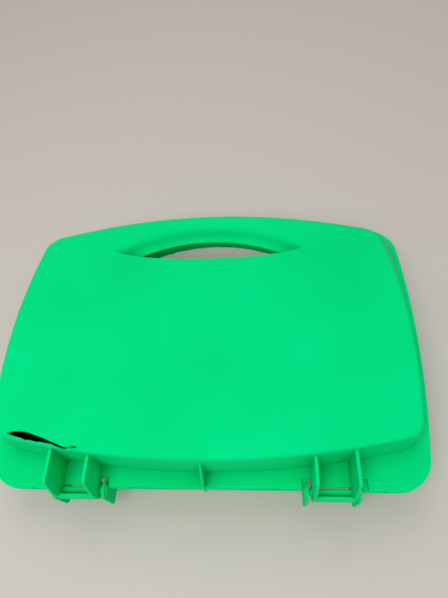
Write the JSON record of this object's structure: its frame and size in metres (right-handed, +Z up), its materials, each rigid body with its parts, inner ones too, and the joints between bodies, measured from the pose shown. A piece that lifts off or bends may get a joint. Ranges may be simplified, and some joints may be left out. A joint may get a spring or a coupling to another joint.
{
  "type": "fleet guessing case",
  "caption": "Clamshell carry case with a hand hole and pinned hinge brackets, holding peg-grid trays, small ships and marker pegs.",
  "frame": {"origin": "under the middle of the closed case, on the plane that it rests on", "axes": "+X along the hinge, +Y from the hinge towards the handle, +Z up from the lower face to the upper face"},
  "size_m": [0.2814, 0.2062, 0.065],
  "materials": {
    "shell_plastic": "bright green moulded polypropylene, fine satin grain",
    "pin_plastic": "bright green moulded plastic, smooth",
    "ocean_plastic": "blue moulded plastic, satin",
    "target_plastic": "dark slate moulded plastic, satin",
    "screw_steel": "zinc-plated self-tapping screws",
    "ship_plastic": "grey moulded plastic",
    "hit_plastic": "red moulded plastic",
    "miss_plastic": "white moulded plastic"
  },
  "bodies": {
    "lower_half": {"lower_shell": "shell_plastic", "hinge_pin_left": "pin_plastic", "hinge_pin_right": "pin_plastic", "ocean_tray": "ocean_plastic", "ocean_tray_screws": "screw_steel", "hit_pegs": "hit_plastic", "miss_pegs": "miss_plastic"},
    "upper_half": {"upper_shell": "shell_plastic", "target_tray": "target_plastic", "target_tray_screws": "screw_steel"},
    "carrier_body": {"carrier": "ship_plastic"},
    "battleship_body": {"battleship": "ship_plastic"},
    "cruiser_body": {"cruiser": "ship_plastic"},
    "submarine_body": {"submarine": "ship_plastic"},
    "patrol_boat_body": {"patrol_boat": "ship_plastic"}
  },
  "joints": [
    {"name": "case_hinge", "type": "hinge", "parent": "lower_half", "child": "upper_half", "pos_m": [0, -0.09795, 0.0325], "axis": [1, 0, 0], "range_deg": [0, 180]},
    {"name": "carrier_lift", "type": "slide", "parent": "lower_half", "child": "carrier_body", "axis": [0, 0, 1], "range_m": [0, 0.012]},
    {"name": "battleship_lift", "type": "slide", "parent": "lower_half", "child": "battleship_body", "axis": [0, 0, 1], "range_m": [0, 0.012]},
    {"name": "cruiser_lift", "type": "slide", "parent": "lower_half", "child": "cruiser_body", "axis": [0, 0, 1], "range_m": [0, 0.012]},
    {"name": "submarine_lift", "type": "slide", "parent": "lower_half", "child": "submarine_body", "axis": [0, 0, 1], "range_m": [0, 0.012]},
    {"name": "patrol_boat_lift", "type": "slide", "parent": "lower_half", "child": "patrol_boat_body", "axis": [0, 0, 1], "range_m": [0, 0.012]}
  ]
}
